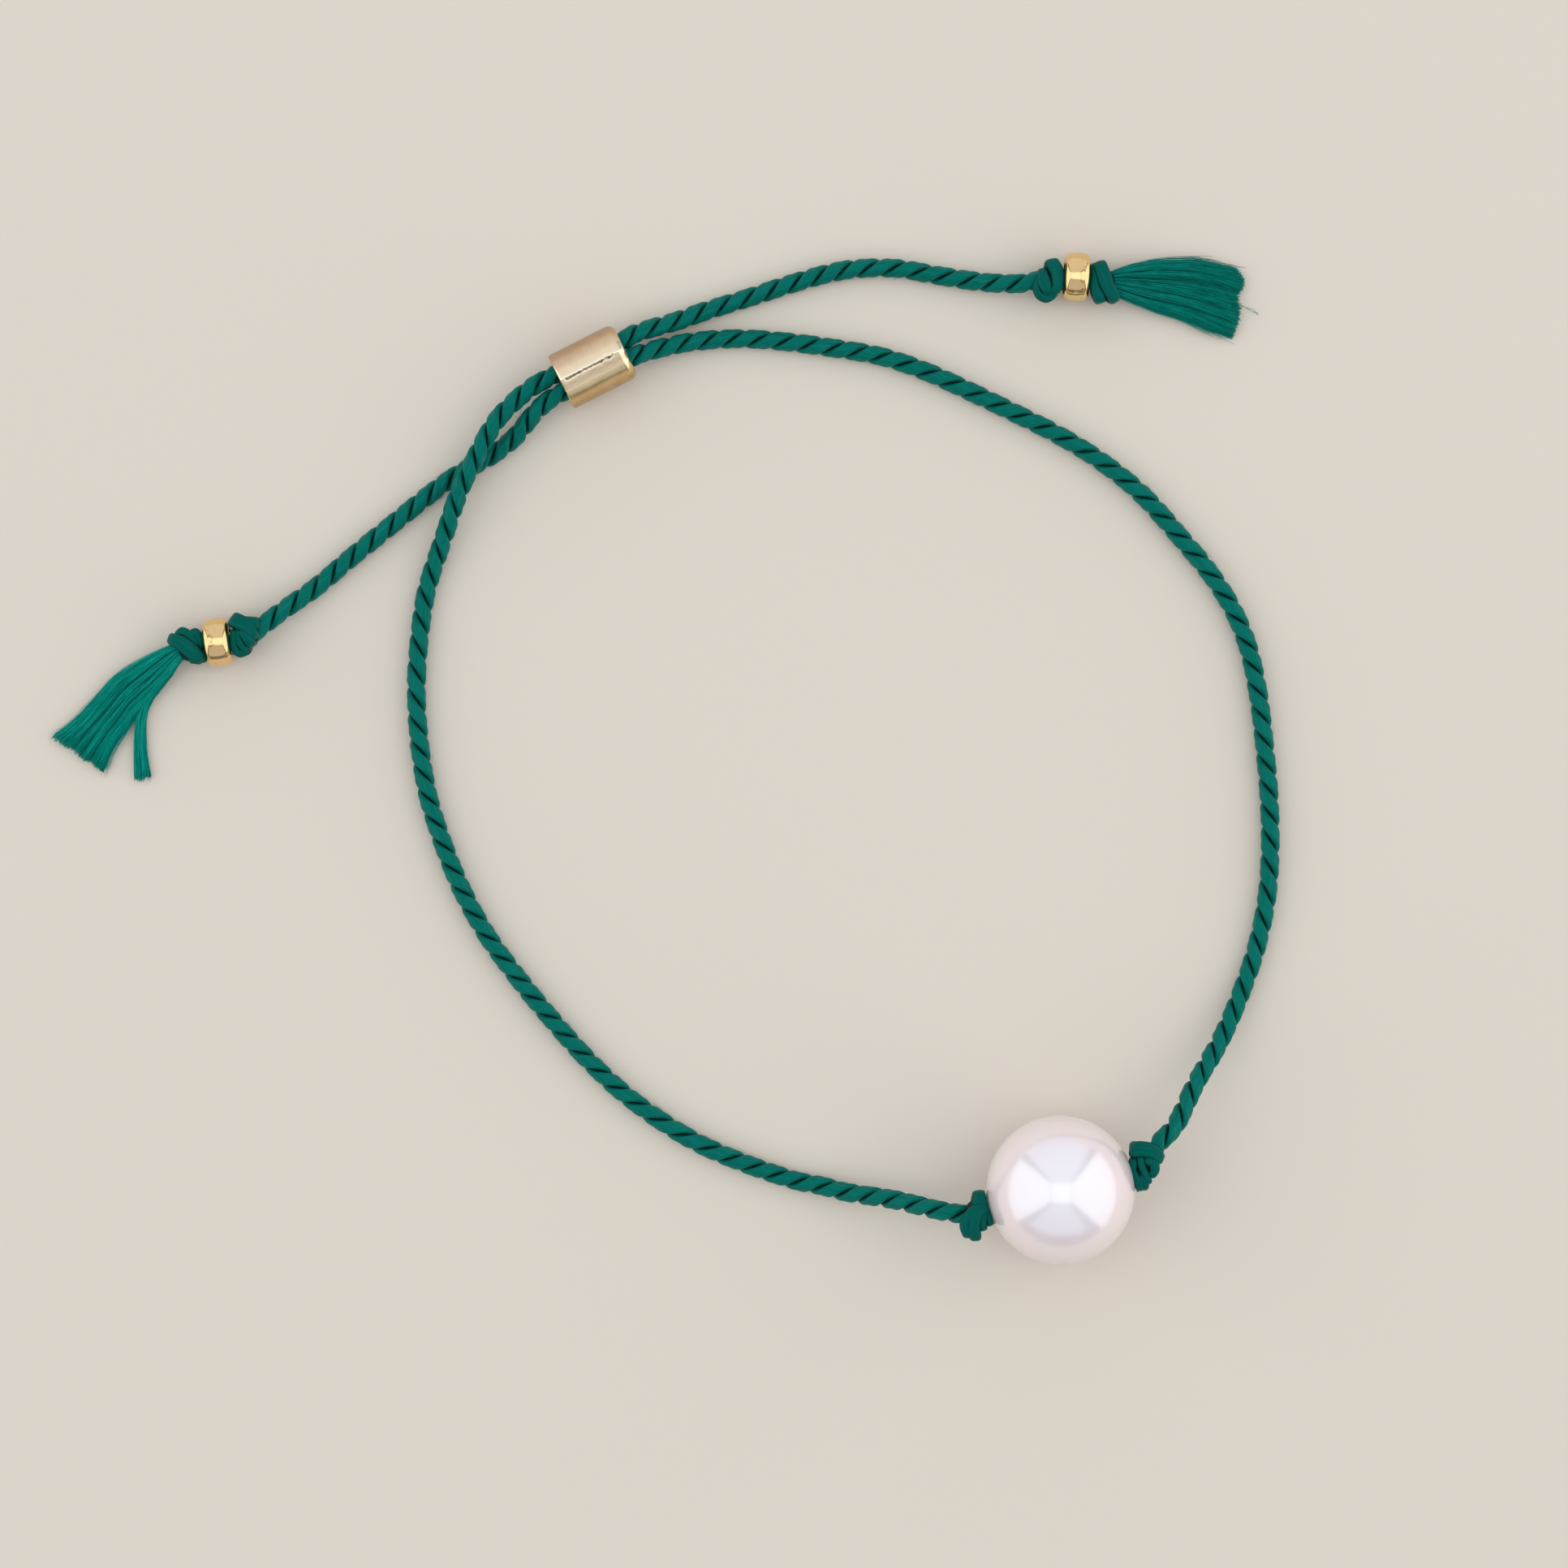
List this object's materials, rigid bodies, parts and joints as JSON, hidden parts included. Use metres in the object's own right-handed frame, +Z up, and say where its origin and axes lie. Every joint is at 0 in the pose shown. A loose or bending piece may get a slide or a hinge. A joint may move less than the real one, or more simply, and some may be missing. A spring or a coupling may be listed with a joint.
{
  "type": "pearl bracelet",
  "caption": "Bracelet of twisted silk cord with a round pearl, a sliding metal tube and tails that end in ring beads and tassels, lying flat as an open loop.",
  "frame": {"origin": "middle of the bracelet's box in plan, on the surface that it lies on", "axes": "+X to the right of the picture, along the bracelet's longest extent, +Y up the picture, +Z up from the surface"},
  "size_m": [0.0834, 0.0684, 0.01],
  "materials": {
    "silk": "satin",
    "pearl": "gloss",
    "gold": "satin"
  },
  "bodies": {
    "root": {"pearl": "pearl", "cord_in_pearl": "silk", "knot_pearl_left": "silk", "knot_pearl_right": "silk", "cord_right_side": "silk", "cord_left_side": "silk", "slider_tube": "gold", "ring_bead_left": "gold", "ring_bead_right": "gold", "cord_in_ring_left": "silk", "cord_in_ring_right": "silk", "knot_left_inner": "silk", "knot_left_outer": "silk", "knot_right_inner": "silk", "knot_right_outer": "silk", "tassel_left": "silk", "tassel_right": "silk"}
  },
  "joints": []
}
